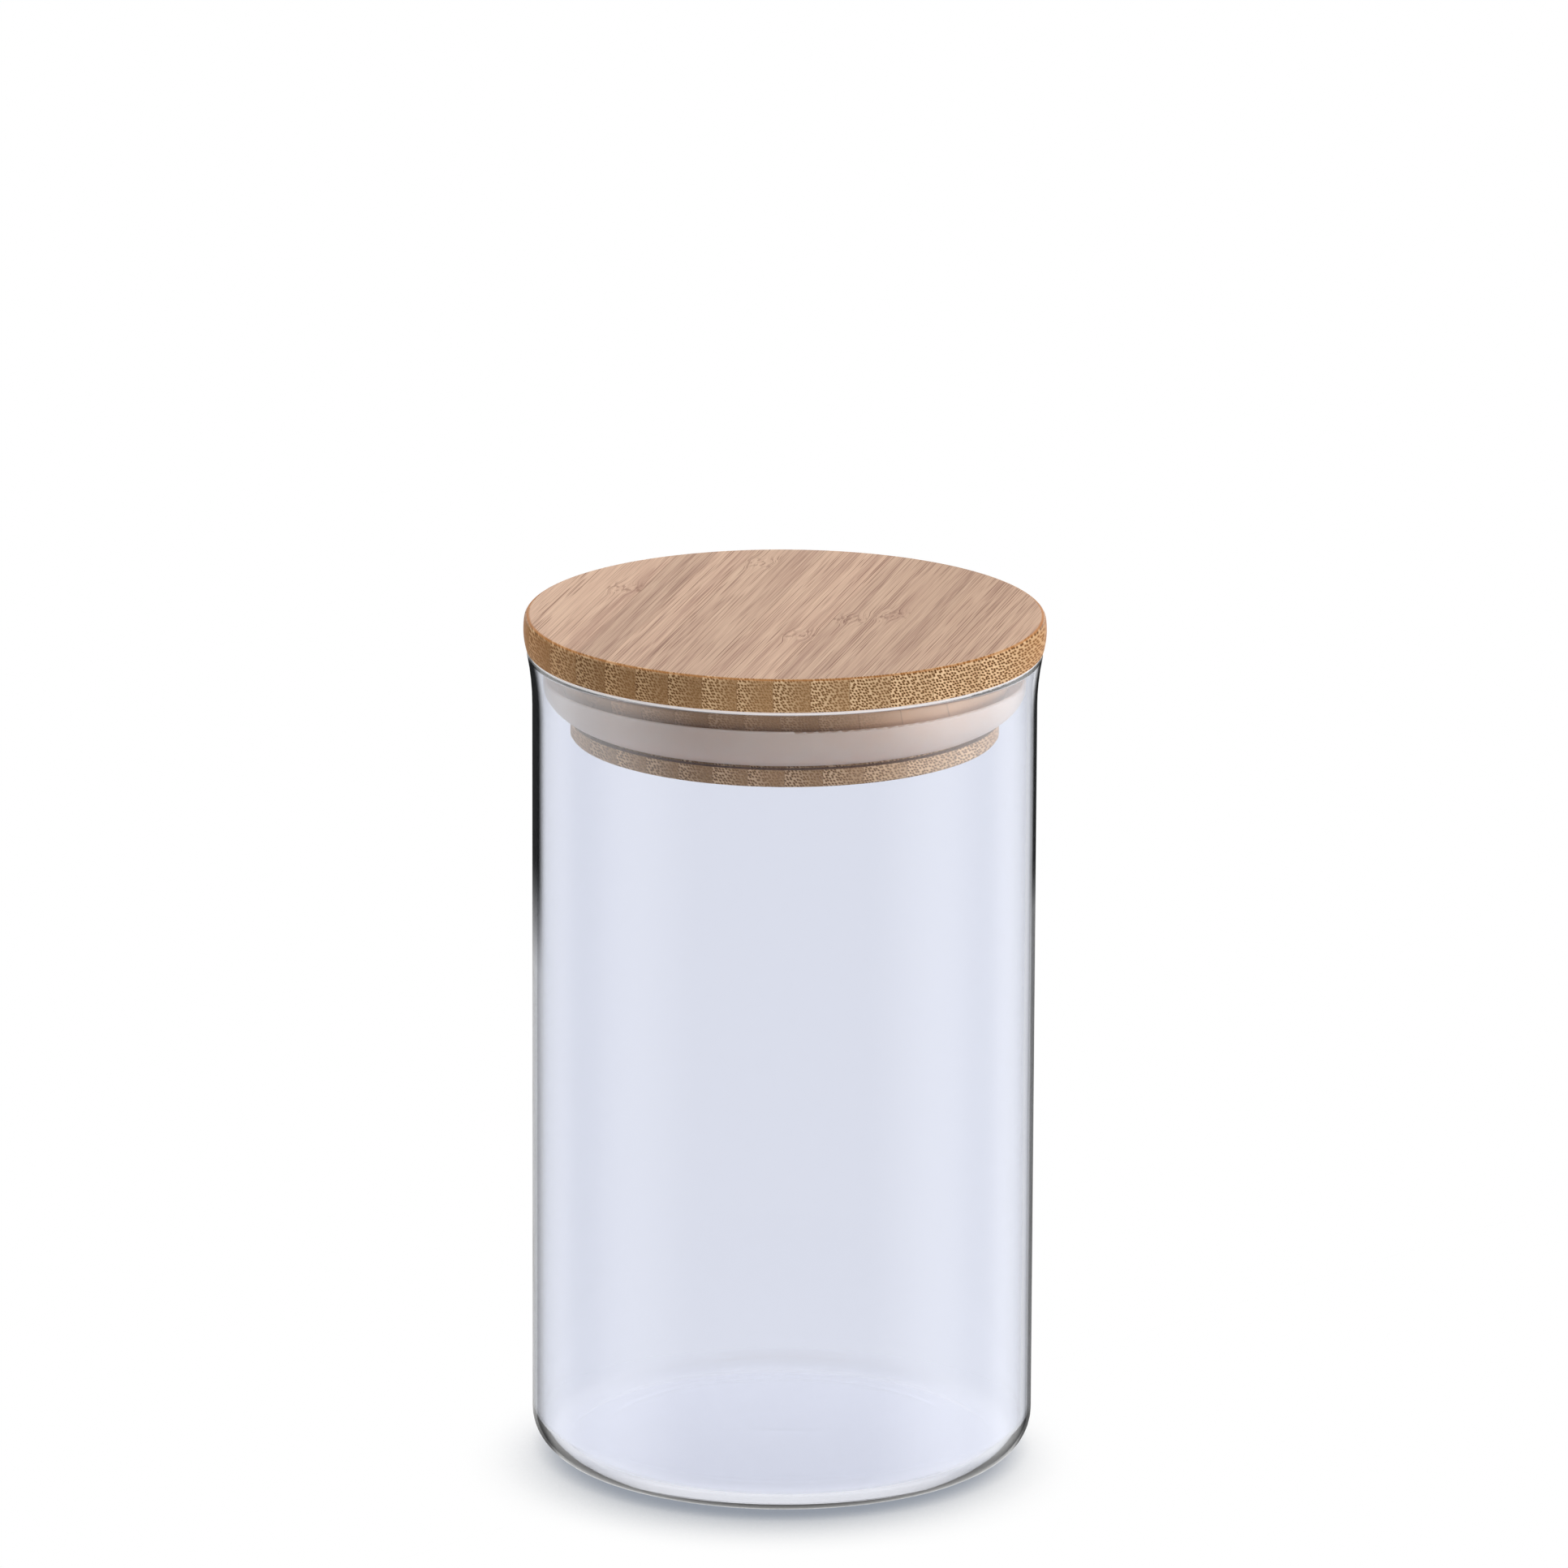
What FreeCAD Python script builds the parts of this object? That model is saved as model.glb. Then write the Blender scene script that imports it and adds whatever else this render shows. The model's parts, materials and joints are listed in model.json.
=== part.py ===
import FreeCAD, Part
import math
import os

# A glass storage jar with a push-in lid. The lid is one block of upright bamboo staves, glued
# side by side and turned round, with a silicone sealing ring in a groove of its plug.
# Millimetres, +Z up, the jar's axis on Z and its foot on Z = 0.

# Glass jar
JAR_DIAMETER = 100.0
JAR_HEIGHT = 165.2
WALL = 2.0
FLOOR_THICKNESS = 2.6
FOOT_CORNER_RADIUS = 8.0
FOOT_RING_WIDTH = 6.0       # flat ring that the jar stands on
FLOOR_DOME_RISE = 0.6       # how far the middle of the floor is pushed up
RIM_FLARE = 1.05            # how far the wall leans out at the rim
RIM_FLARE_HEIGHT = 11.7     # height of the stretch that leans out

# Cover of the lid
COVER_THICKNESS = 6.6
COVER_OVERHANG = 0.7        # beyond the widest part of the rim
COVER_WIDEST_DEPTH = 3.0    # of the widest line, below the top face
COVER_SIDE_RADIUS = 13.5    # crown of the side
COVER_EDGE_RADIUS = 1.2     # round between the side and the top face
RIM_GAP = 0.2               # between the rim and the cover

# Plug of the lid
PLUG_DEPTH = 17.4           # below the cover
PLUG_CLEARANCE = 5.6        # between the plug and the jar's bore
SHOULDER_CLEARANCE = 0.8    # between the top of the tapered shoulder and the bore
FLANGE_THICKNESS = 3.6      # below the groove
FLANGE_EDGE_RADIUS = 0.8
GROOVE_HEIGHT = 2.8
GROOVE_DEPTH = 1.6

# Staves of the lid
STAVE_COUNT = 15
BOARD_ALLOWANCE = 1.1       # of the glued board beyond the cover, turned away on each side
BOARD_OFFSET = -0.3         # of the board's middle from the lid's axis
GRAIN_TURN = 14.0           # degrees from +Y towards +X

# Sealing ring
SEAL_BORE_CLEARANCE = 0.3   # round the groove's floor
SEAL_TOP_CLEARANCE = 0.15   # under the groove's upper wall
SEAL_DROP_GAP = 0.85        # over the groove's lower wall
LIP_RISE = 8.1              # from the ring's underside to the lip's tip
LIP_ROOT_STEP = 0.4         # from the plug's side out to the root of the lip's upper face
LIP_TIP_THICKNESS = 0.8
LIP_BULGE = 1.4             # of the lip's lower face, from its chord
LIP_BACK_BULGE = 1.2        # of the lip's upper face
LIP_CLEARANCE = 0.3         # between the lip's tip and the glass

# Jar, worked out
jar_radius = JAR_DIAMETER / 2
bore_radius = jar_radius - WALL
foot_flat_radius = jar_radius - FOOT_CORNER_RADIUS
dome_radius = foot_flat_radius - FOOT_RING_WIDTH
dome_bend = (dome_radius ** 2 + FLOOR_DOME_RISE ** 2) / (2 * FLOOR_DOME_RISE)
dome_angle = math.degrees(math.acos(dome_radius / dome_bend))
floor_corner_radius = FOOT_CORNER_RADIUS - WALL
flare_start = JAR_HEIGHT - RIM_FLARE_HEIGHT
flare_rise = RIM_FLARE_HEIGHT - WALL / 2
flare_angle = 2 * math.degrees(math.atan2(RIM_FLARE, flare_rise))
flare_mid_radius = flare_rise / math.sin(math.radians(flare_angle))
flare_centre = jar_radius - WALL / 2 + flare_mid_radius
rim_radius = jar_radius + RIM_FLARE

# Lid, worked out
seat_height = JAR_HEIGHT + RIM_GAP
top_height = seat_height + COVER_THICKNESS
cover_radius = rim_radius + COVER_OVERHANG
widest_height = top_height - COVER_WIDEST_DEPTH
side_centre = cover_radius - COVER_SIDE_RADIUS
plug_bottom = seat_height - PLUG_DEPTH
groove_bottom = plug_bottom + FLANGE_THICKNESS
groove_top = groove_bottom + GROOVE_HEIGHT
plug_radius = bore_radius - PLUG_CLEARANCE
groove_radius = plug_radius - GROOVE_DEPTH
shoulder_radius = bore_radius - SHOULDER_CLEARANCE
board_edge = BOARD_OFFSET - cover_radius - BOARD_ALLOWANCE
stave_width = 2 * (cover_radius + BOARD_ALLOWANCE) / STAVE_COUNT


class Outline:
    """A closed outline in the plane of radius and height, drawn stroke by stroke."""

    def __init__(self, radius, height):
        self.start = FreeCAD.Vector(radius, 0, height)
        self.pen = self.start
        self.edges = []

    def line_to(self, radius, height):
        end = FreeCAD.Vector(radius, 0, height)
        self.edges.append(Part.LineSegment(self.pen, end).toShape())
        self.pen = end

    def arc_to(self, middle, end):
        through = FreeCAD.Vector(middle[0], 0, middle[1])
        stop = FreeCAD.Vector(end[0], 0, end[1])
        self.edges.append(Part.Arc(self.pen, through, stop).toShape())
        self.pen = stop

    def bulge_to(self, radius, height, bulge):
        """Draw an arc that stands off its chord by bulge, to the right of the way it runs."""
        run = radius - self.pen.x
        rise = height - self.pen.z
        chord = math.hypot(run, rise)
        middle_radius = (self.pen.x + radius) / 2 + bulge * rise / chord
        middle_height = (self.pen.z + height) / 2 - bulge * run / chord
        self.arc_to((middle_radius, middle_height), (radius, height))

    def arc_about(self, centre, radius, first_angle, last_angle):
        """Draw an arc round a centre, with a straight stroke to its first point if needed."""

        def on_circle(angle):
            turn = math.radians(angle)
            return centre[0] + radius * math.cos(turn), centre[1] + radius * math.sin(turn)

        first = on_circle(first_angle)
        if (FreeCAD.Vector(first[0], 0, first[1]) - self.pen).Length > 1e-6:
            self.line_to(*first)
        self.arc_to(on_circle((first_angle + last_angle) / 2), on_circle(last_angle))

    def turned(self):
        """Close the outline and turn it round the Z axis into a solid."""
        if (self.start - self.pen).Length > 1e-6:
            self.line_to(self.start.x, self.start.z)
        face = Part.Face(Part.Wire(self.edges))
        return face.revolve(FreeCAD.Vector(0, 0, 0), FreeCAD.Vector(0, 0, 1), 360)


def bore_radius_at(height):
    """Radius of the jar's inner wall, which leans out near the rim."""
    above_start = max(0.0, height - flare_start)
    bend = flare_mid_radius + WALL / 2
    return flare_centre - math.sqrt(bend ** 2 - above_start ** 2)


def make_glass_jar():
    """The jar: domed floor, round foot corner, straight wall and a flared, rounded rim."""
    jar = Outline(0, FLOOR_DOME_RISE)
    jar.arc_about((0, FLOOR_DOME_RISE - dome_bend), dome_bend, 90, dome_angle)
    jar.arc_about((foot_flat_radius, FOOT_CORNER_RADIUS), FOOT_CORNER_RADIUS, -90, 0)
    jar.arc_about((flare_centre, flare_start), flare_mid_radius - WALL / 2, 180, 180 - flare_angle)
    lean = math.radians(flare_angle)
    rim_centre = (flare_centre - flare_mid_radius * math.cos(lean), flare_start + flare_rise)
    jar.arc_about(rim_centre, WALL / 2, -flare_angle, 180 - flare_angle)
    jar.arc_about((flare_centre, flare_start), flare_mid_radius + WALL / 2, 180 - flare_angle, 180)
    corner_centre = (bore_radius - floor_corner_radius, FLOOR_THICKNESS + floor_corner_radius)
    jar.arc_about(corner_centre, floor_corner_radius, 0, -90)
    inside_rise = FLOOR_THICKNESS + FLOOR_DOME_RISE
    jar.arc_about((0, inside_rise - dome_bend), dome_bend, dome_angle, 90)
    return jar.turned()


def make_lid_block():
    """The turned lid before it is parted into staves: plug, groove, shoulder and cover."""
    lid = Outline(0, plug_bottom)
    edge_centre = (plug_radius - FLANGE_EDGE_RADIUS, plug_bottom + FLANGE_EDGE_RADIUS)
    lid.arc_about(edge_centre, FLANGE_EDGE_RADIUS, -90, 0)
    lid.line_to(plug_radius, groove_bottom)
    lid.line_to(groove_radius, groove_bottom)
    lid.line_to(groove_radius, groove_top)
    lid.line_to(plug_radius, groove_top)
    lid.line_to(shoulder_radius, seat_height)
    seat_angle = -math.degrees(math.asin((widest_height - seat_height) / COVER_SIDE_RADIUS))
    edge_height = top_height - COVER_EDGE_RADIUS
    edge_angle = math.degrees(
        math.asin((edge_height - widest_height) / (COVER_SIDE_RADIUS - COVER_EDGE_RADIUS))
    )
    edge_reach = (COVER_SIDE_RADIUS - COVER_EDGE_RADIUS) * math.cos(math.radians(edge_angle))
    lid.arc_about((side_centre, widest_height), COVER_SIDE_RADIUS, seat_angle, edge_angle)
    lid.arc_about((side_centre + edge_reach, edge_height), COVER_EDGE_RADIUS, edge_angle, 90)
    lid.line_to(0, top_height)
    return lid.turned()


def make_stave(block, number):
    """One stave of the turned lid, counted from the left, with the grain along its seams."""
    corner = FreeCAD.Vector(board_edge + (number - 1) * stave_width, -cover_radius, plug_bottom)
    slab = Part.makeBox(stave_width, 2 * cover_radius, top_height - plug_bottom, corner)
    slab.rotate(FreeCAD.Vector(0, 0, 0), FreeCAD.Vector(0, 0, 1), -GRAIN_TURN)
    solids = block.common(slab).Solids
    return solids[0] if len(solids) == 1 else Part.makeCompound(solids)


def make_seal_ring():
    """The sealing ring: a flat ring in the groove and a thin lip that curves up to the glass."""
    ring_bore = groove_radius + SEAL_BORE_CLEARANCE
    ring_top = groove_top - SEAL_TOP_CLEARANCE
    ring_bottom = groove_bottom + SEAL_DROP_GAP
    tip_height = ring_bottom + LIP_RISE
    tip_radius = bore_radius_at(tip_height) - LIP_CLEARANCE
    seal = Outline(ring_bore, ring_top)
    seal.line_to(ring_bore, ring_bottom)
    seal.line_to(plug_radius, ring_bottom)
    seal.bulge_to(tip_radius, tip_height, LIP_BULGE)
    seal.bulge_to(tip_radius - LIP_TIP_THICKNESS, tip_height, LIP_TIP_THICKNESS / 2)
    seal.bulge_to(plug_radius + LIP_ROOT_STEP, ring_top, -LIP_BACK_BULGE)
    return seal.turned()


def main():
    """Write each piece of the canister to its own file."""
    pieces = {"glass_jar": make_glass_jar(), "seal_ring": make_seal_ring()}
    block = make_lid_block()
    for number in range(1, STAVE_COUNT + 1):
        pieces[f"lid_stave_{number:02d}"] = make_stave(block, number)
    os.makedirs("parts", exist_ok=True)
    for name, shape in pieces.items():
        shape.exportStep(f"parts/{name}.step")
        solids = len(shape.Solids)
        print(f"{name}: {solids} solid, {shape.Volume / 1000:.2f} cm3, valid {shape.isValid()}")


main()
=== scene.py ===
"""Dress the lidded glass canister: clear blown glass, laminated bamboo and milky silicone.

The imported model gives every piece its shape. This script gives the pieces their finishes, and sets up
the studio and the camera. Lengths are in metres, except where a name ends in _mm. A share runs from 0
to 1, and a span holds where a smooth change starts and where it is complete.
"""

import json
import logging
import math
from dataclasses import dataclass
from enum import Enum
from typing import Any, Dict, List, Mapping, Optional, Tuple, Union

import bpy
from mathutils import Matrix, Vector

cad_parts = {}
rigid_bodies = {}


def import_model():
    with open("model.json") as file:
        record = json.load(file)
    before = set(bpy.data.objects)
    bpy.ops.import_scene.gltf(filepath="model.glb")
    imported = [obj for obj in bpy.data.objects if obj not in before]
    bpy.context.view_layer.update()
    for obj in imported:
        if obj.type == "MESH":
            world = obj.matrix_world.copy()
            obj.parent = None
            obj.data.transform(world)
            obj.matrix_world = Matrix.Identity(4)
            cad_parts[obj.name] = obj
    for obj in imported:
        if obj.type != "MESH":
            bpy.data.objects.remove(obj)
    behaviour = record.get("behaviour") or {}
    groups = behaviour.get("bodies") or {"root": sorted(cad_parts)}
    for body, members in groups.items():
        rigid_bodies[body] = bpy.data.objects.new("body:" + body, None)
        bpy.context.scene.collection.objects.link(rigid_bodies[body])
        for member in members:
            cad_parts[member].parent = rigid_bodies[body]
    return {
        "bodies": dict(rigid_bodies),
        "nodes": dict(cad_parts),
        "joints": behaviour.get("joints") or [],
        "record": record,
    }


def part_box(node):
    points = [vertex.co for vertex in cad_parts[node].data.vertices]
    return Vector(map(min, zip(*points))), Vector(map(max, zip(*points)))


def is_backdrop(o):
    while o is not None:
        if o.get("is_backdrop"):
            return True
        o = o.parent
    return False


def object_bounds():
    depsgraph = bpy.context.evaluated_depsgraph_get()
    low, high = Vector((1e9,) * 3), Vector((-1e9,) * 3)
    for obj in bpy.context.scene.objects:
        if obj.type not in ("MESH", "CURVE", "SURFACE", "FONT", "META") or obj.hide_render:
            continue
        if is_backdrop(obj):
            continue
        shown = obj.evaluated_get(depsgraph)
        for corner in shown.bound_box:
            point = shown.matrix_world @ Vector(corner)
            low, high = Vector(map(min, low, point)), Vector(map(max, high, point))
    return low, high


LOG = logging.getLogger("canister")
MM_PER_M = 1000.0
NOISE_MIDDLE = 0.5
HALF_COUNT = 0.5

Colour = Tuple[float, float, float, float]
Span = Tuple[float, float]
Frame = Dict[str, Any]

WHITE: Colour = (1.0, 1.0, 1.0, 1.0)
BLACK: Colour = (0.0, 0.0, 0.0, 1.0)


def srgb(red: float, green: float, blue: float) -> Colour:
    """Turn a screen colour, 0 to 255 a channel, into the linear colour that shaders take.

    Args:
        red: Red level.
        green: Green level.
        blue: Blue level.

    Returns:
        The linear colour, with full alpha.
    """
    shares = [level / 255 for level in (red, green, blue)]
    levels = [s / 12.92 if s <= 0.04045 else ((s + 0.055) / 1.055) ** 2.4 for s in shares]
    return (levels[0], levels[1], levels[2], 1.0)


def grey(level: float) -> Colour:
    """A linear grey, with full alpha."""
    return (level, level, level, 1.0)


class Wire:
    """A node's output, on which Python's operators build Math nodes."""

    def __init__(self, bench: "Bench", node: bpy.types.Node, output: Union[int, str] = 0) -> None:
        """Keep where the value comes from.

        Args:
            bench: The bench that builds the nodes.
            node: The node that gives the value.
            output: The output that carries it.
        """
        self.bench = bench
        self.node = node
        self.output = output

    @property
    def socket(self) -> bpy.types.NodeSocket:
        """The output socket itself."""
        return self.node.outputs[self.output]

    def at(self, output: Union[int, str]) -> "Wire":
        """Another output of the same node."""
        return Wire(self.bench, self.node, output)

    def __add__(self, other: "Value") -> "Wire":
        """Sum."""
        return self.bench.math("ADD", self, other)

    def __radd__(self, other: float) -> "Wire":
        """Sum, with the number first."""
        return self.bench.math("ADD", other, self)

    def __sub__(self, other: "Value") -> "Wire":
        """Difference."""
        return self.bench.math("SUBTRACT", self, other)

    def __rsub__(self, other: float) -> "Wire":
        """Difference, with the number first."""
        return self.bench.math("SUBTRACT", other, self)

    def __mul__(self, other: "Value") -> "Wire":
        """Product."""
        return self.bench.math("MULTIPLY", self, other)

    def __rmul__(self, other: float) -> "Wire":
        """Product, with the number first."""
        return self.bench.math("MULTIPLY", other, self)

    def __truediv__(self, other: "Value") -> "Wire":
        """Quotient."""
        return self.bench.math("DIVIDE", self, other)

    def __rtruediv__(self, other: float) -> "Wire":
        """Quotient, with the number first."""
        return self.bench.math("DIVIDE", other, self)

    def __neg__(self) -> "Wire":
        """Other sign."""
        return self.bench.math("SUBTRACT", 0.0, self)

    def __abs__(self) -> "Wire":
        """Size without sign."""
        return self.bench.math("ABSOLUTE", self)

    def __floor__(self) -> "Wire":
        """Whole number below."""
        return self.bench.math("FLOOR", self)


Value = Union[Wire, float]
Setting = Union[Wire, float, Tuple[float, ...]]


class Bench:
    """Builds the node tree of one material or of the world."""

    def __init__(self, owner: Union[bpy.types.Material, bpy.types.World]) -> None:
        """Take over a node tree, emptied.

        Args:
            owner: The material or the world that has the tree.
        """
        owner.use_nodes = True
        self.nodes = owner.node_tree.nodes
        self.links = owner.node_tree.links
        self.nodes.clear()

    def add(
        self,
        kind: str,
        settings: Optional[Mapping[str, Any]] = None,
        inputs: Optional[Mapping[Union[int, str], Setting]] = None,
        output: Union[int, str] = 0,
    ) -> Wire:
        """Add a node, set it up and connect it.

        Args:
            kind: The node's type, without the leading ShaderNode.
            settings: Properties of the node, which are set before its sockets.
            inputs: A value or a wire for each named or numbered socket.
            output: The output to hand back.

        Returns:
            The chosen output.
        """
        node = self.nodes.new("ShaderNode" + kind)
        for name, value in (settings or {}).items():
            setattr(node, name, value)
        for name, value in (inputs or {}).items():
            if isinstance(value, Wire):
                self.links.new(value.socket, node.inputs[name])
            else:
                node.inputs[name].default_value = value
        return Wire(self, node, output)

    def math(self, operation: str, *values: Value) -> Wire:
        """Add a Math node on up to three values."""
        return self.add("Math", {"operation": operation}, dict(enumerate(values)))

    def smooth(self, value: Value, low: float, high: float) -> Wire:
        """Rise smoothly from 0 at low to 1 at high."""
        ends = {"Value": value, "From Min": low, "From Max": high}
        return self.add("MapRange", {"interpolation_type": "SMOOTHSTEP"}, ends)

    def vector(self, x: Value, y: Value, z: Value) -> Wire:
        """Join three values to a vector."""
        return self.add("CombineXYZ", inputs={"X": x, "Y": y, "Z": z})

    def scaled(self, vector: Wire, by: Value) -> Wire:
        """A vector, longer or shorter."""
        return self.add("VectorMath", {"operation": "SCALE"}, {0: vector, "Scale": by})

    def summed(self, first: Wire, second: Wire) -> Wire:
        """Two vectors, end to end."""
        return self.add("VectorMath", {"operation": "ADD"}, {0: first, 1: second})

    def unit(self, vector: Wire) -> Wire:
        """A vector's direction, with a length of 1."""
        return self.add("VectorMath", {"operation": "NORMALIZE"}, {0: vector})

    def length(self, vector: Wire) -> Wire:
        """A vector's length."""
        return self.add("VectorMath", {"operation": "LENGTH"}, {0: vector}, "Value")

    def blend(self, share: Value, first: Setting, second: Setting, mode: str = "MIX") -> Wire:
        """Mix two colours.

        Args:
            share: How much of the second colour.
            first: The colour at 0.
            second: The colour at 1.
            mode: Blender's name for the way of mixing.

        Returns:
            The mixed colour.
        """
        settings = {"data_type": "RGBA", "blend_type": mode}
        return self.add("Mix", settings, {0: share, 6: first, 7: second}, output=2)

    def layer(self, share: Value, first: Wire, second: Wire) -> Wire:
        """Mix two shaders."""
        return self.add("MixShader", inputs={0: share, 1: first, 2: second})

    def glow(self, colour: Setting) -> Wire:
        """A shader that shines in a colour, whatever light falls on it."""
        return self.add("Emission", inputs={"Color": colour, "Strength": 1.0})

    def noise(self, place: Wire, scale: float, detail: float = 2.0) -> Wire:
        """Soft noise from 0 to 1 at a place."""
        return self.add("TexNoise", inputs={"Vector": place, "Scale": scale, "Detail": detail})

    def place_mm(self) -> Wire:
        """The place on the object, in millimetres."""
        return self.scaled(self.add("TexCoord", output="Object"), MM_PER_M)

    def bump(self, height: Value, depth: float, strength: float, normal: Optional[Wire] = None) -> Wire:
        """A bumped normal.

        Args:
            height: Height of the bumps, 0 to 1.
            depth: What a height of 1 stands for, in metres.
            strength: How much of the bump shows.
            normal: The normal to bump, if not the mesh's own.

        Returns:
            The normal.
        """
        inputs: Dict[str, Setting] = {"Strength": strength, "Distance": depth, "Height": height}
        if normal is not None:
            inputs["Normal"] = normal
        return self.add("Bump", inputs=inputs)

    def surface(self, shader: Wire) -> None:
        """Send a shader to the material's surface."""
        self.add("OutputMaterial", inputs={"Surface": shader})


def new_finish(name: str) -> Tuple[bpy.types.Material, Bench]:
    """Start a material.

    Args:
        name: The material's name.

    Returns:
        The material and the bench that builds its nodes.
    """
    material = bpy.data.materials.new(name)
    return material, Bench(material)


def dress(piece: bpy.types.Object, material: bpy.types.Material) -> None:
    """Give a piece one material all over, and report it.

    Args:
        piece: The piece's object.
        material: Its finish.
    """
    piece.data.materials.clear()
    piece.data.materials.append(material)
    LOG.info("dressed %s in %s", piece.name, material.name)


def new_object(
    name: str,
    points: List[Tuple[float, ...]],
    faces: List[Tuple[int, ...]],
) -> bpy.types.Object:
    """Make an object of the studio.

    Args:
        name: The name of the object and its mesh.
        points: The mesh's corners.
        faces: The corners of each face, by number.

    Returns:
        The object, linked to the scene.
    """
    mesh = bpy.data.meshes.new(name)
    mesh.from_pydata(points, [], faces)
    made = bpy.data.objects.new(name, mesh)
    bpy.context.scene.collection.objects.link(made)
    return made


@dataclass(frozen=True)
class JarShape:
    """The jar's outline, in millimetres."""

    corner_centre: float
    corner_radius: float
    floor_extra: float
    wall: float
    flare_start: float
    flare_bend: float
    rim_centre: float
    rim: float


class JarMap:
    """Finds a place on the jar: which side of the wall it is on, and which way the wall faces."""

    # Shares of the way down the foot corner, where the wall stops being upright
    upright_end: Span = (0.5, 0.85)
    # Past the corner's centre, where the outline's normal takes over from the mesh's own
    outline_start_mm: Span = (0.2, 1.0)
    # Depth of the rim's round, in half walls
    rim_depth: float = 1.2

    def __init__(self, bench: Bench, shape: JarShape) -> None:
        """Work out the place from the object's coordinates.

        Args:
            bench: The material's bench.
            shape: The jar's outline.
        """
        self.bench = bench
        self.shape = shape
        parts = bench.add("SeparateXYZ", inputs={0: bench.place_mm()})
        self.x = parts.at("X")
        self.height = parts.at("Z")
        flat = bench.vector(self.x, parts.at("Y"), 0.0)
        self.radial = bench.unit(flat)
        self.radius = bench.length(flat)
        self.past_corner = bench.math("MAXIMUM", self.radius - shape.corner_centre, 0.0)
        self.drop = self.below(shape.corner_radius)
        self.outside = self.find_outside()
        self.upright = 1 - bench.smooth(self.drop / -shape.corner_radius, *self.upright_end)

    def below(self, level: Value) -> Wire:
        """How far the place is below a level, as a number under 0, or 0 above it."""
        return self.bench.math("MINIMUM", self.height - level, 0.0)

    def find_outside(self) -> Wire:
        """1 on the outer half of the wall, 0 on the inner half."""
        reach = self.bench.math("SQRT", self.past_corner * self.past_corner + self.drop * self.drop)
        return self.bench.math("GREATER_THAN", reach, self.shape.corner_radius - self.shape.wall / 2)

    def normal(self) -> Wire:
        """Work out which way the wall faces, from the outline between the foot corner and the rim.

        Returns:
            The normal, which is the mesh's own on the floor inside the foot corner.
        """
        bench = self.bench
        shape = self.shape
        geometry = bench.add("NewGeometry")
        drop = self.below(shape.corner_radius + shape.floor_extra * (1 - self.outside))
        lean = bench.math("MAXIMUM", self.height - shape.flare_start, 0.0) / shape.flare_bend
        side = 2 * self.outside - 1
        half = shape.wall / 2
        on_rim = bench.math("GREATER_THAN", self.height, shape.rim - half * self.rim_depth)
        out = self.past_corner * side * (1 - on_rim) + (self.radius - shape.rim_centre) * on_rim
        rise = (drop - lean * self.past_corner) * side * (1 - on_rim)
        rise = rise + (self.height - shape.rim + half) * on_rim
        way = bench.summed(bench.scaled(self.radial, out), bench.vector(0.0, 0.0, rise))
        front = 1 - 2 * geometry.at("Backfacing")
        way = bench.unit(bench.scaled(way, front))
        share = bench.smooth(self.past_corner, *self.outline_start_mm)
        ends = {0: share, 4: geometry.at("Normal"), 5: way}
        return bench.add("Mix", {"data_type": "VECTOR"}, ends, output=1)


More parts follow.
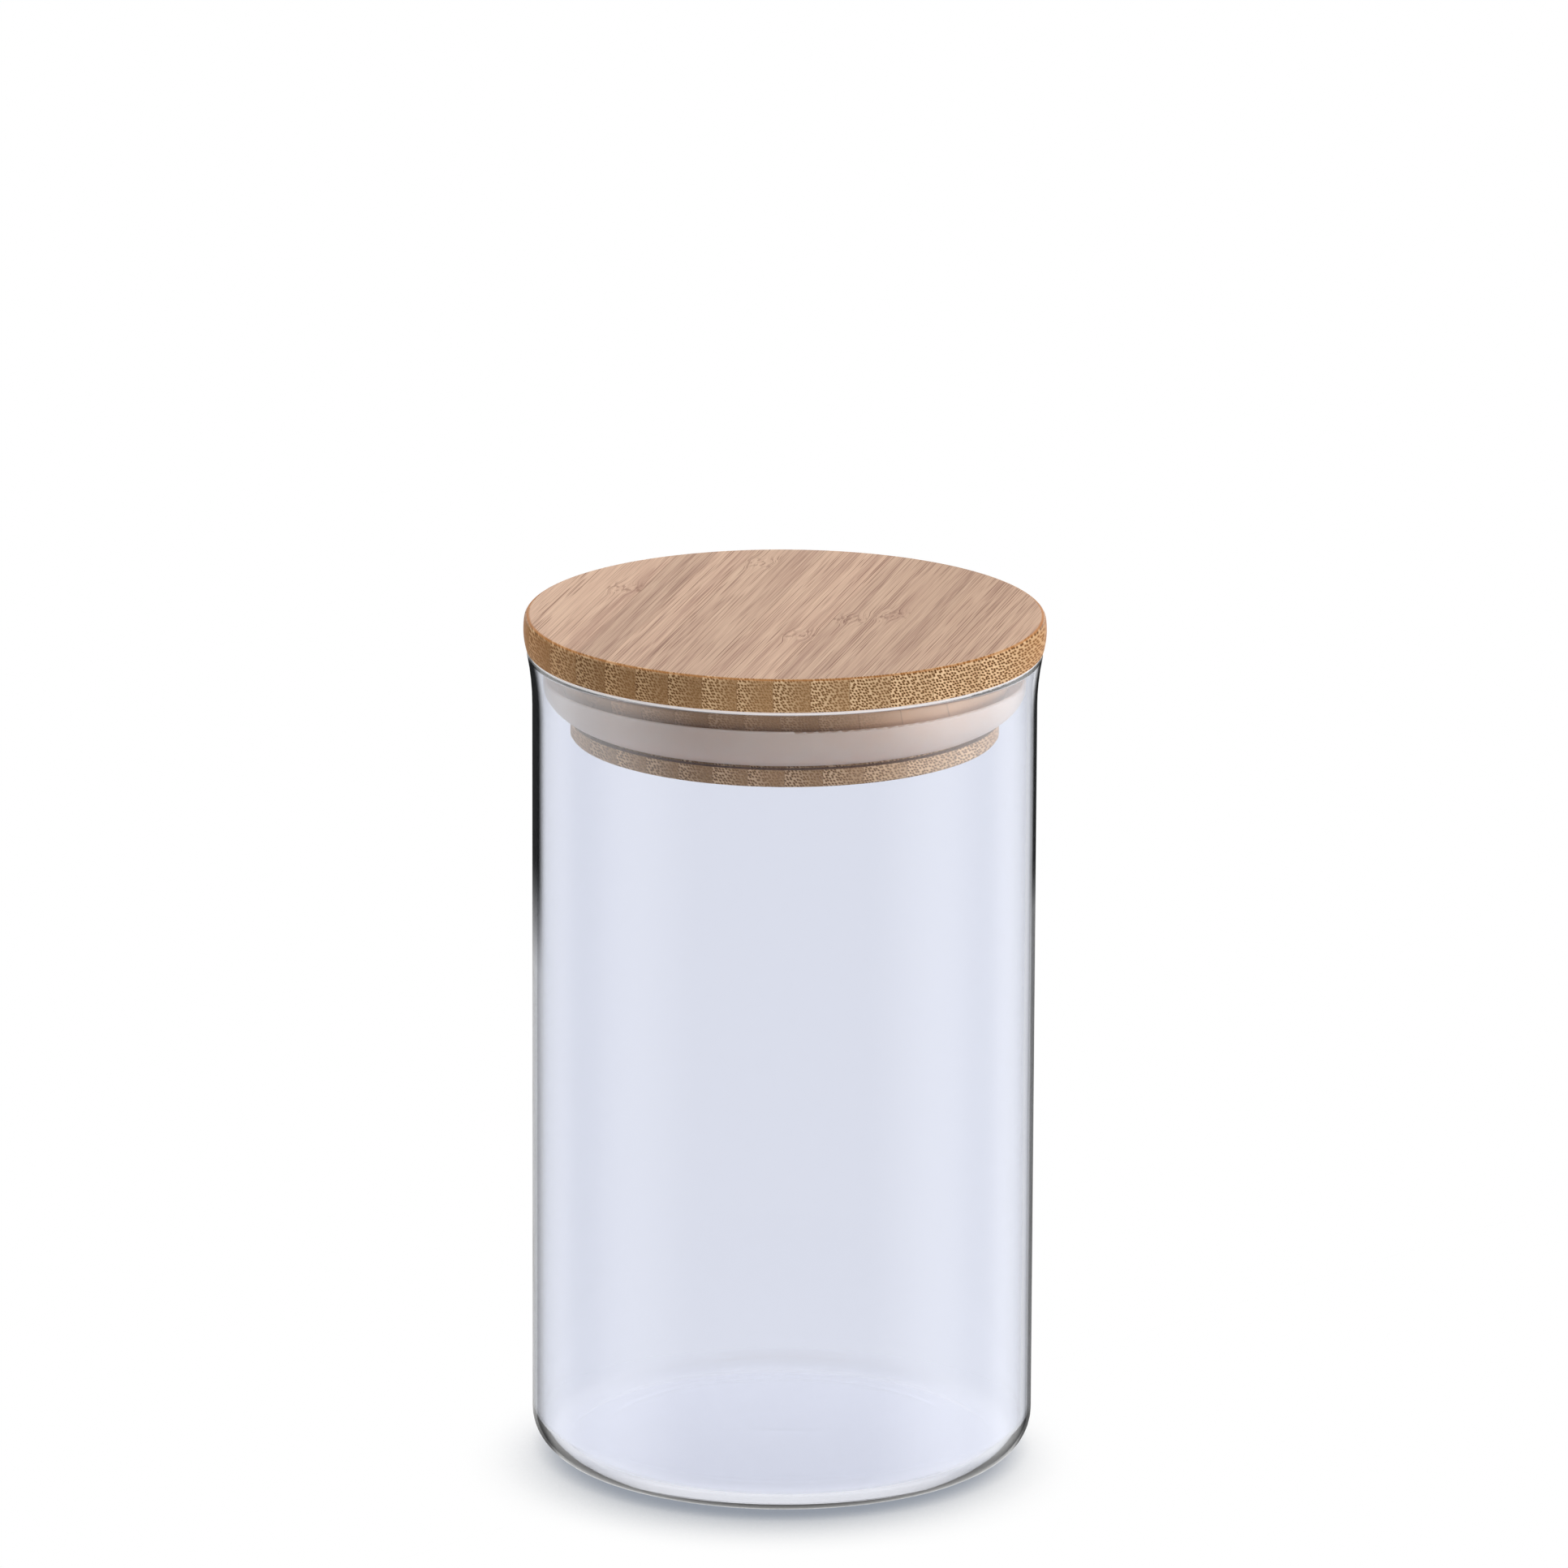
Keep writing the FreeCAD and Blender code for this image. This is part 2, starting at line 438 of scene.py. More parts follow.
@dataclass(frozen=True)
class GlassFinish:
    """Clear blown glass, cool in tint, with painted shade towards its sides, painted dark edges where the
    wall is seen end on, and a painted highlight that glows on the rim.
    """

    refraction: float = 1.5
    wave_scale: float = 0.05
    wave_depth: float = 0.0001
    wave_strength: float = 0.3

    # Viewing angle: the blend that gives the plain cosine, and the least level share of a steep view
    plain_blend: float = 0.5
    steepest_view: float = 0.1

    # Tint, which deepens towards the sides of the jar as it is seen, above the foot corner: painted shade
    # that stands in for the longer path through the glass
    tint: Colour = srgb(238, 240, 247)
    painted_side_shade: Colour = srgb(205, 209, 221)
    side_turned: Span = (0.07, 0.48)
    tint_past_corner_mm: Span = (2.0, 6.0)

    # Painted dark edges, a dark matt shader in place of the dark reflections at the wall's sides, which are
    # thinner at the right, wider at the foot and fade down the left
    painted_edge_colour: Colour = srgb(8, 9, 11)
    edge_share: float = 0.975
    edge_turned: Span = (0.67, 0.78)
    edge_right_mm: Span = (-20.0, 20.0)
    edge_thinner: float = 0.08
    edge_wider: float = 0.1
    edge_fade_mm: Span = (85.0, 125.0)
    edge_low_dark: float = 0.35
    edge_right_dark: float = 0.45
    edge_foot_dark: float = 0.8
    foot_fade_mm: Span = (12.0, 4.0)
    edge_below_rim_mm: Span = (0.6, 1.0)

    # Painted highlight: a bright line that glows on the outer shoulder of the fire-polished rim
    painted_rim_highlight: Colour = srgb(236, 240, 245)
    rim_share: float = 0.9
    rim_line_mm: Span = (0.6, 0.25)
    rim_roughness: float = 0.3
    rim_highlight_glow: float = 0.5

    def facing(self, bench: Bench, way: Wire) -> Wire:
        """1 where a direction points at the viewer, 0 where it is square to the view."""
        inputs = {"Blend": self.plain_blend, "Normal": way}
        return 1 - bench.add("LayerWeight", inputs=inputs, output="Facing")

    def turned(self, bench: Bench, place: JarMap) -> Wire:
        """How far the wall is turned from the viewer, at any height of view.

        Args:
            bench: The material's bench.
            place: The place on the jar.

        Returns:
            0 in the middle of the jar as it is seen, 1 at its sides.
        """
        steep = self.facing(bench, bench.vector(0.0, 0.0, 1.0))
        level = bench.math("SQRT", 1 - steep * steep)
        return 1 - self.facing(bench, place.radial) / bench.math("MAXIMUM", level, self.steepest_view)

    def painted_dark_edge(self, bench: Bench, place: JarMap, turned: Wire) -> Wire:
        """Where the painted dark edge lies, on the outside of the wall where it is seen end on.

        Args:
            bench: The material's bench.
            place: The place on the jar.
            turned: 0 where the wall is seen square on, 1 where it is seen end on.

        Returns:
            1 at the edge of the outside wall, 0 elsewhere.
        """
        right = bench.smooth(place.x, *self.edge_right_mm)
        foot = bench.smooth(place.height, *self.foot_fade_mm)
        seen = turned - self.edge_thinner * right + self.edge_wider * foot
        edge = bench.smooth(seen, *self.edge_turned)
        high = bench.smooth(place.height, *self.edge_fade_mm)
        dark = bench.math("MAXIMUM", high, self.edge_low_dark + self.edge_right_dark * right)
        dark = bench.math("MAXIMUM", dark, foot * self.edge_foot_dark)
        below_rim = bench.smooth(place.shape.rim - place.height, *self.edge_below_rim_mm)
        entering = 1 - bench.add("NewGeometry", output="Backfacing")
        return edge * dark * below_rim * place.outside * place.upright * entering

    def on_rim(self, bench: Bench, place: JarMap) -> Wire:
        """1 on the outer shoulder of the rim, where the painted highlight goes, and 0 elsewhere."""
        return bench.smooth(place.shape.rim - place.height, *self.rim_line_mm) * place.outside

    def clear_wall(self, bench: Bench, place: JarMap, turned: Wire) -> Wire:
        """The clear glass itself.

        Args:
            bench: The material's bench.
            place: The place on the jar.
            turned: 0 where the wall is seen square on, 1 where it is seen end on.

        Returns:
            The shader.
        """
        waves = bench.noise(bench.place_mm(), self.wave_scale)
        on_wall = place.upright * bench.smooth(place.past_corner, *self.tint_past_corner_mm)
        # Painted shade: the tint deepens towards the sides of the jar as it is seen.
        deep = bench.smooth(turned, *self.side_turned) * on_wall
        return bench.add(
            "BsdfPrincipled",
            inputs={
                "Base Color": bench.blend(deep, self.tint, self.painted_side_shade),
                "Roughness": 0.0,
                "IOR": self.refraction,
                "Transmission Weight": 1.0,
                "Normal": bench.bump(waves, self.wave_depth, self.wave_strength, place.normal()),
            },
        )

    def material(self, shape: JarShape) -> bpy.types.Material:
        """Build the glass.

        Args:
            shape: The jar's outline.

        Returns:
            The material.
        """
        material, bench = new_finish("clear_glass")
        place = JarMap(bench, shape)
        turned = self.turned(bench, place)
        # Painted dark edge: a dark matt shader mixed in where the outer wall is seen end on.
        edge = bench.add("BsdfDiffuse", inputs={"Color": self.painted_edge_colour})
        darkened = self.painted_dark_edge(bench, place, turned) * self.edge_share
        wall = bench.layer(darkened, self.clear_wall(bench, place, turned), edge)
        # Painted highlight: a pale glossy shader that glows, for the bright line on the rim.
        bright = bench.add(
            "BsdfPrincipled",
            inputs={
                "Base Color": self.painted_rim_highlight,
                "Roughness": self.rim_roughness,
                "Emission Color": self.painted_rim_highlight,
                "Emission Strength": self.rim_highlight_glow,
            },
        )
        wall = bench.layer(self.on_rim(bench, place) * self.rim_share, wall, bright)
        lamp_ray = bench.add("LightPath", output="Is Shadow Ray")
        clear = bench.add("BsdfTransparent", inputs={"Color": WHITE})
        bench.surface(bench.layer(lamp_ray, wall, clear))
        return material


@dataclass(frozen=True)
class SiliconeFinish:
    """Milky silicone, satin, with faint clouding and fine specks."""

    pale: Colour = srgb(252, 222, 206)
    cloud: Colour = srgb(245, 213, 195)
    cloud_scale: float = 0.25
    roughness: float = 0.45
    cloud_roughness: float = 0.12
    speck_scale: float = 3.0
    speck_depth: float = 0.00003
    speck_strength: float = 0.3
    refraction: float = 1.41
    gloss: float = 0.3
    glow: float = 1.0
    glow_spread: Tuple[float, float, float] = (1.0, 0.9, 0.85)
    glow_depth: float = 0.0015

    def material(self) -> bpy.types.Material:
        """Build the silicone.

        Returns:
            The material.
        """
        material, bench = new_finish("milky_silicone")
        place = bench.place_mm()
        clouds = bench.noise(place, self.cloud_scale)
        specks = bench.noise(place, self.speck_scale)
        shader = bench.add(
            "BsdfPrincipled",
            inputs={
                "Base Color": bench.blend(clouds, self.pale, self.cloud),
                "Roughness": self.roughness + self.cloud_roughness * clouds,
                "IOR": self.refraction,
                "Specular IOR Level": self.gloss,
                "Subsurface Weight": self.glow,
                "Subsurface Radius": self.glow_spread,
                "Subsurface Scale": self.glow_depth,
                "Normal": bench.bump(specks, self.speck_depth, self.speck_strength),
            },
        )
        bench.surface(shader)
        return material


@dataclass(frozen=True)
class Board:
    """Where the glued staves lie in the lid."""

    grain_turn: float
    first_seam_mm: float
    stave_width_mm: float
    seat_mm: float


class BoardMap:
    """Finds a place on the board: along and across the grain, in which stave, and facing which way."""

    # Seeds of each stave's tone and figure, and the most that its figure is shifted
    tone_seed: float = 0.37
    figure_seed: float = 5.7
    shift_mm: float = 173.0
    # Below the seat of the cover
    plug_start_mm: Span = (0.0, 0.4)
    shoulder_end_mm: Span = (13.0, 11.0)

    def __init__(self, bench: Bench, board: Board) -> None:
        """Work out the place from the object's coordinates.

        Args:
            bench: The material's bench.
            board: Where the staves lie.
        """
        self.bench = bench
        parts = bench.add("SeparateXYZ", inputs={0: bench.place_mm()})
        self.x = parts.at("X")
        self.z = parts.at("Z")
        cosine = math.cos(board.grain_turn)
        sine = math.sin(board.grain_turn)
        self.across = self.x * cosine - parts.at("Y") * sine
        self.along = self.x * sine + parts.at("Y") * cosine

        seam_count = (self.across - board.first_seam_mm) / board.stave_width_mm
        self.stave = math.floor(seam_count)
        self.share = seam_count - self.stave
        self.tone = self.stave_number(self.tone_seed)
        self.figure = self.stave_number(self.figure_seed)
        self.shift = self.tone * self.shift_mm
        self.height = self.z + self.shift

        normal = bench.add("SeparateXYZ", inputs={0: bench.add("TexCoord", output="Normal")})
        self.facing_end = abs(normal.at("Y"))
        self.up = normal.at("Z")
        below_seat = board.seat_mm - self.z
        self.plug = bench.smooth(below_seat, *self.plug_start_mm)
        self.shoulder = bench.smooth(below_seat, *self.shoulder_end_mm)

    def stave_number(self, seed: float) -> Wire:
        """A number from 0 to 1 that is the stave's own."""
        return self.bench.add("TexWhiteNoise", {"noise_dimensions": "1D"}, {"W": self.stave + seed})


@dataclass(frozen=True)
class BambooFinish:
    """Sanded bamboo: fibre streaks along the faces, and fibre dots on the end grain."""

    bundle_randomness: float = 0.6
    roughness: float = 0.5
    line_roughness: float = 0.15
    gloss: float = 0.05
    relief_depth: float = 0.00006
    relief_strength: float = 0.5
    streak_relief: float = 0.6
    line_relief: float = 0.4

    # Growth rings: the stave's number from 0 and the millimetres along the grain
    knuckles: Tuple[Tuple[int, float], ...] = ((2, 11.0), (5, 37.7), (8, -15.7), (9, -1.0), (10, 4.0))
    knuckle_reach_mm: float = 6.5
    knuckle_bulge_mm: float = 1.1
    knuckle_stretch: float = 0.4
    swirl_scale: float = 0.5
    swirl_mm: float = 2.0
    fleck_across: float = 1.5
    fleck_scale: float = 0.9
    fleck_noise: Span = (0.5, 0.66)
    fleck_share: float = 0.5

    # Faces along the grain
    face_pale: Colour = srgb(208, 175, 152)
    face_mauve: Colour = srgb(177, 142, 124)
    face_dark: Colour = srgb(118, 80, 66)
    face_light: Colour = srgb(226, 196, 170)
    wander_across: float = 0.6
    wander_along: float = 0.025
    wander_mm: float = 1.2
    mauve_scale: float = 0.55
    mauve_stretch: float = 0.015
    mauve_noise: Span = (0.42, 0.7)
    mauve_share: float = 0.65
    line_scale: float = 3.5
    line_detail: float = 3.0
    line_stretch: float = 0.012
    light_line: Span = (0.52, 0.7)
    light_line_share: float = 0.55
    dark_line: Span = (0.5, 0.7)
    dark_line_share: float = 0.4
    streak_spacing_mm: float = 0.6
    streak_width: Span = (0.08, 0.2)
    streak_share: float = 0.85
    streak_least: float = 0.45
    streak_figure: float = 0.55
    beside_start: Span = (0.2, 0.26)
    beside_end: Span = (0.3, 0.4)
    beside_share: float = 0.4

    # End grain, where the fibres stand open or close
    end_turned: Span = (0.03, 0.2)
    end_pale: Colour = srgb(200, 158, 114)
    end_light: Colour = srgb(246, 212, 170)
    end_close: Colour = srgb(188, 146, 102)
    end_dark: Colour = srgb(84, 48, 20)
    cut_lean: float = 0.5
    open_side_mm: Span = (12.0, 40.0)
    open_spacing_mm: float = 0.58
    open_dot: Span = (0.18, 0.38)
    open_gap: Span = (0.38, 0.55)
    open_dot_share: float = 0.72
    open_dot_figure: float = 0.2
    open_dot_side: float = 0.3
    close_spacing_mm: float = 0.36
    close_dot: Span = (0.12, 0.42)
    close_dot_share: float = 0.35
    close_share: float = 0.8
    close_figure: float = 0.4
    close_rise: Span = (0.1, 1.0)
    close_less_open: float = 0.75
    close_less_side: float = 0.7
    shoulder_plain: float = 0.55

    # Painted light on the plug, painted shade on the plug's ledge and on the cover's side, stains of the
    # cover's side and edge, and the seams
    plug_painted_light: Colour = srgb(252, 214, 176)
    lit_right_mm: Span = (4.0, 24.0)
    lit_right_share: float = 0.95
    lit_far_right_mm: Span = (28.0, 44.0)
    lit_far_right_loss: float = 0.45
    lit_left_mm: Span = (6.0, 38.0)
    lit_left_share: float = 0.35
    lit_below_shoulder: float = 0.25
    # Painted shade on the flange's top, in the groove under the ring
    ledge_painted_shade: Colour = srgb(96, 66, 46)
    ledge_up: Span = (0.7, 0.9)
    ledge_share: float = 0.6
    # Painted shade on the cover's side, darker towards its left end and at its far right; the top is darker
    # towards the right
    darker_tone: Colour = (0.64, 0.58, 0.50, 1.0)
    top_up: Span = (0.5, 0.9)
    shade_left_mm: Span = (-10.0, 48.0)
    shade_right_mm: Span = (28.0, 48.0)
    shade_right_share: float = 0.45
    top_darker_mm: Span = (5.0, 45.0)
    top_darker_share: float = 0.2
    side_stain: Colour = srgb(184, 124, 66)
    side_end: Span = (0.2, 0.65)
    side_up: Span = (0.3, 0.7)
    side_share: float = 0.35
    edge_stain: Colour = srgb(176, 112, 52)
    edge_start: Span = (0.7, 0.85)
    edge_end: Span = (0.93, 0.995)
    edge_share: float = 0.7
    seam_colour: Colour = srgb(120, 84, 56)
    seam_half_width: float = 0.02
    seam_share: float = 0.3
    darkest_stave: Colour = grey(0.9)
    palest_stave: Colour = grey(1.06)

    def knuckle_nearness(self, place: BoardMap) -> Wire:
        """How near a place is to a growth ring of its own stave.

        Args:
            place: The place on the board.

        Returns:
            1 on the ring, 0 from the reach outwards.
        """
        bench = place.bench
        nearest: Value = self.knuckle_reach_mm
        for number, ring in self.knuckles:
            other_stave = 1 - bench.math("COMPARE", place.stave, float(number), HALF_COUNT)
            distance = abs(place.along - ring) + other_stave * self.knuckle_reach_mm
            nearest = bench.math("MINIMUM", distance, nearest)
        return 1 - bench.smooth(nearest, 0.0, self.knuckle_reach_mm)

    def bundles(self, bench: Bench, place: Wire, spacing_mm: float) -> Wire:
        """Scatter fibre bundles.

        Args:
            bench: The material's bench.
            place: The place on the cut, in millimetres.
            spacing_mm: How far apart the bundles stand.

        Returns:
            The distance from the nearest bundle, as a share of the spacing.
        """
        settings = {"voronoi_dimensions": "2D", "feature": "F1"}
        inputs = {"Vector": place, "Scale": 1 / spacing_mm, "Randomness": self.bundle_randomness}
        return bench.add("TexVoronoi", settings, inputs, output="Distance")

    def face(self, place: BoardMap) -> Tuple[Wire, Wire, Wire]:
        """Paint the faces along the grain.

        Args:
            place: The place on the board.

        Returns:
            The colour, the dark streaks and the fine lines.
        """
        bench = place.bench
        knuckle = self.knuckle_nearness(place)
        bulge = bench.math("SINE", place.share * math.tau) * knuckle * self.knuckle_bulge_mm
        along = place.along * self.knuckle_stretch
        eddies = bench.noise(bench.vector(place.across, along, place.z), self.swirl_scale)
        swirl = (eddies - NOISE_MIDDLE) * knuckle * self.swirl_mm
        side = place.across + bulge + swirl + place.shift
        narrow = bench.vector(place.across * self.fleck_across, along, place.z)
        flecks = bench.smooth(bench.noise(narrow, self.fleck_scale), *self.fleck_noise) * knuckle

        slow = bench.vector(place.across * self.wander_across, place.along * self.wander_along, place.shift)
        wander = (bench.noise(slow, 1.0) - NOISE_MIDDLE) * self.wander_mm
        slant = bench.vector(side, place.height + wander, 0.0)
        fibres = self.bundles(bench, slant, self.streak_spacing_mm)
        strength = self.streak_least + self.streak_figure * place.figure
        streaks = (1 - bench.smooth(fibres, *self.streak_width)) * strength
        beside = bench.smooth(fibres, *self.beside_start) * (1 - bench.smooth(fibres, *self.beside_end))
        fine = bench.vector(side, place.height, place.along * self.line_stretch)
        lines = bench.noise(fine, self.line_scale, self.line_detail)
        broad = bench.vector(side, place.height, place.along * self.mauve_stretch)
        mauve = bench.smooth(bench.noise(broad, self.mauve_scale), *self.mauve_noise)

        colour = bench.blend(mauve * self.mauve_share, self.face_pale, self.face_mauve)
        light = bench.smooth(lines, *self.light_line) * self.light_line_share
        colour = bench.blend(light, colour, self.face_light)
        colour = bench.blend(beside * self.beside_share, colour, self.face_light)
        dark = bench.smooth(1 - lines, *self.dark_line) * self.dark_line_share
        for share in (dark, streaks * self.streak_share, flecks * self.fleck_share):
            colour = bench.blend(share, colour, self.face_dark)
        return colour, streaks, lines

    def end_grain(self, place: BoardMap) -> Wire:
        """Paint the end grain, with a dot for every fibre bundle that is cut.

        Args:
            place: The place on the board.

        Returns:
            The colour.
        """
        bench = place.bench
        cut = bench.vector(place.x + place.shift + self.cut_lean * place.height, place.height, 0.0)
        open_fibres = self.bundles(bench, cut, self.open_spacing_mm)
        close_fibres = self.bundles(bench, cut, self.close_spacing_mm)
        open_side = bench.smooth(place.across, *self.open_side_mm)
        close = place.share + place.figure * self.close_figure - self.close_figure / 2
        close = bench.smooth(close, *self.close_rise) * (1 - self.close_less_side * open_side)
        strength = self.open_dot_share + self.open_dot_figure * place.figure
        strength = strength + self.open_dot_side * open_side
        open_dots = (1 - bench.smooth(open_fibres, *self.open_dot)) * strength
        close_dots = 1 - bench.smooth(close_fibres, *self.close_dot)
        dots = open_dots * (1 - close * self.close_less_open) + close_dots * close * self.close_dot_share
        plain = 1 - place.plug * place.shoulder * self.shoulder_plain
        gaps = bench.smooth(open_fibres, *self.open_gap) * plain
        colour = bench.blend(gaps, self.end_pale, self.end_light)
        colour = bench.blend(close * self.close_share, colour, self.end_close)
        return bench.blend(dots * plain, colour, self.end_dark)

    def stains_and_painted_light(self, place: BoardMap, colour: Wire) -> Wire:
        """Lay the painted light and shade of the plug and the cover, the stains of the cover and the seams,
        and each stave's tone over the wood.

        Args:
            place: The place on the board.
            colour: The bare wood.

        Returns:
            The colour.
        """
        bench = place.bench
        # Painted light: the plug is paler towards its right and left, where light and the glass's
        # reflections fall, and less so below the shoulder.
        far_right = bench.smooth(place.x, *self.lit_far_right_mm) * self.lit_far_right_loss
        lit_right = bench.smooth(place.x, *self.lit_right_mm) * (self.lit_right_share - far_right)
        lit_left = bench.smooth(-place.x, *self.lit_left_mm) * self.lit_left_share
        reach = self.lit_below_shoulder + (1 - self.lit_below_shoulder) * place.shoulder
        colour = bench.blend(place.plug * (lit_right + lit_left) * reach, colour, self.plug_painted_light)
        # Painted shade on the flange's top in the groove.
        ledge = place.plug * bench.smooth(place.up, *self.ledge_up) * self.ledge_share
        colour = bench.blend(ledge, colour, self.ledge_painted_shade)

        # Painted shade on the cover's side, darker towards the left and at the far right; the top is darker
        # towards the right.
        top = bench.smooth(place.up, *self.top_up)
        shade_right = bench.smooth(place.x, *self.shade_right_mm) * self.shade_right_share
        side_shade = bench.smooth(-place.x, *self.shade_left_mm) + shade_right
        top_darker = bench.smooth(place.x, *self.top_darker_mm) * self.top_darker_share
        darker_share = side_shade * (1 - place.plug) * (1 - top) + top_darker * top
        colour = bench.blend(darker_share, colour, self.darker_tone, "MULTIPLY")

        long_side = 1 - bench.smooth(place.facing_end, *self.side_end)
        side = long_side * (1 - bench.smooth(place.up, *self.side_up))
        colour = bench.blend(side * self.side_share, colour, self.side_stain)
        edge = bench.smooth(place.up, *self.edge_start) * (1 - bench.smooth(place.up, *self.edge_end))
        colour = bench.blend(edge * self.edge_share, colour, self.edge_stain)
        from_seam = bench.math("MINIMUM", place.share, 1 - place.share)
        seam = 1 - bench.smooth(from_seam, 0.0, self.seam_half_width)
        colour = bench.blend(seam * self.seam_share, colour, self.seam_colour)
        tones = bench.blend(place.tone, self.darkest_stave, self.palest_stave)
        return bench.blend(1.0, colour, tones, "MULTIPLY")

    def material(self, board: Board) -> bpy.types.Material:
        """Build the bamboo.

        Args:
            board: Where the staves lie.

        Returns:
            The material, for every stave.
        """
        material, bench = new_finish("bamboo")
        place = BoardMap(bench, board)
        face, streaks, lines = self.face(place)
        on_end = bench.smooth(place.facing_end, *self.end_turned)
        wood = bench.blend(on_end, face, self.end_grain(place))
        relief = 1 - streaks * self.streak_relief - lines * self.line_relief
        shader = bench.add(
            "BsdfPrincipled",
            inputs={
                "Base Color": self.stains_and_painted_light(place, wood),
                "Roughness": self.roughness + self.line_roughness * lines,
                "Specular IOR Level": self.gloss,
                "Normal": bench.bump(relief, self.relief_depth, self.relief_strength),
            },
        )
        bench.surface(shader)
        return material


@dataclass
class GlassJar:
    """The jar."""

    frame: Frame
    node: str = "glass_jar"
    wall: float = 0.002
    floor_thickness: float = 0.0026
    foot_corner: float = 0.008
    rim_flare: float = 0.00105
    flare_height: float = 0.0117
    flare_bend: float = 0.055
    finish: GlassFinish = GlassFinish()

    def shape(self) -> JarShape:
        """Work out the outline from the node's box.

        Returns:
            The outline.
        """
        low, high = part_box(self.node)
        outside = (high.x - low.x) / 2 - self.rim_flare
        return JarShape(
            corner_centre=(outside - self.foot_corner) * MM_PER_M,
            corner_radius=self.foot_corner * MM_PER_M,
            floor_extra=(self.floor_thickness - self.wall) * MM_PER_M,
            wall=self.wall * MM_PER_M,
            flare_start=(high.z - self.flare_height) * MM_PER_M,
            flare_bend=self.flare_bend * MM_PER_M,
            rim_centre=(high.x - self.wall / 2) * MM_PER_M,
            rim=high.z * MM_PER_M,
        )

    def dress(self) -> None:
        """Give the jar its glass."""
        dress(self.frame["nodes"][self.node], self.finish.material(self.shape()))


@dataclass
class SealRing:
    """The sealing ring round the lid's plug."""

    frame: Frame
    node: str = "seal_ring"
    finish: SiliconeFinish = SiliconeFinish()

    def dress(self) -> None:
        """Give the ring its silicone."""
        dress(self.frame["nodes"][self.node], self.finish.material())


@dataclass
class BambooLid:
    """The lid: upright bamboo staves, glued side by side and turned round."""

    frame: Frame
    prefix: str = "lid_stave_"
    jar_node: str = "glass_jar"
    grain_turn: float = math.radians(14)
    finish: BambooFinish = BambooFinish()

    def staves(self) -> List[bpy.types.Object]:
        """The stave nodes, from left to right."""
        nodes = self.frame["nodes"]
        return [nodes[name] for name in sorted(nodes) if name.startswith(self.prefix)]

    def span_mm(self, stave: bpy.types.Object) -> Span:
        """Measure a stave across the grain.

        Args:
            stave: The stave's object.

        Returns:
            Its first and last millimetre across the grain.
        """
        cosine = math.cos(self.grain_turn)
        sine = math.sin(self.grain_turn)
        places = [(v.co.x * cosine - v.co.y * sine) * MM_PER_M for v in stave.data.vertices]
        return min(places), max(places)

    def board(self) -> Board:
        """Find the seams from the middle stave, and the lid's seat from the jar.

        Returns:
            Where the staves lie.
        """
        staves = self.staves()
        middle = len(staves) // 2
        start, end = self.span_mm(staves[middle])
        width = end - start
        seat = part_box(self.jar_node)[1].z * MM_PER_M
        return Board(self.grain_turn, start - width * middle, width, seat)

    def dress(self) -> None:
        """Give every stave its bamboo."""
        material = self.finish.material(self.board())
        for stave in self.staves():
            dress(stave, material)


class Side(Enum):
    """Where a lamp stands: degrees round from the camera's side, to the right."""

    RIGHT = 78.0
    LEFT = -78.0
    FRONT = 0.0
    ABOVE = 180.0


@dataclass(frozen=True)
class Softbox:
    """One soft lamp."""

    side: Side
    height_angle: float
    distance: float
    size: Tuple[float, float]
    level: float

    def build(self, aim: Vector) -> None:
        """Hang the lamp so that it faces the aim.

        Args:
            aim: The point that it lights.
        """
        turn = math.radians(self.side.value)
        rise = math.radians(self.height_angle)
        across = math.cos(rise)
        way = Vector((math.sin(turn) * across, -math.cos(turn) * across, math.sin(rise)))
        lamp = bpy.data.lights.new(f"softbox_{self.side.name.lower()}", "AREA")
        lamp.shape = "RECTANGLE"
        lamp.size, lamp.size_y = self.size
        # A white card at the aim, square to this lamp alone, would show the level.
        lamp.energy = self.level * math.pi ** 2 * self.distance ** 2
        holder = bpy.data.objects.new(lamp.name, lamp)
        holder.location = aim + way * self.distance
        holder.rotation_euler = way.to_track_quat("Z", "Y").to_euler()
        # Through the wall, the jar's floor would mirror the lamp as a hard white patch.
        holder.visible_transmission = False
        bpy.context.scene.collection.objects.link(holder)
        LOG.info("hung %s", lamp.name)


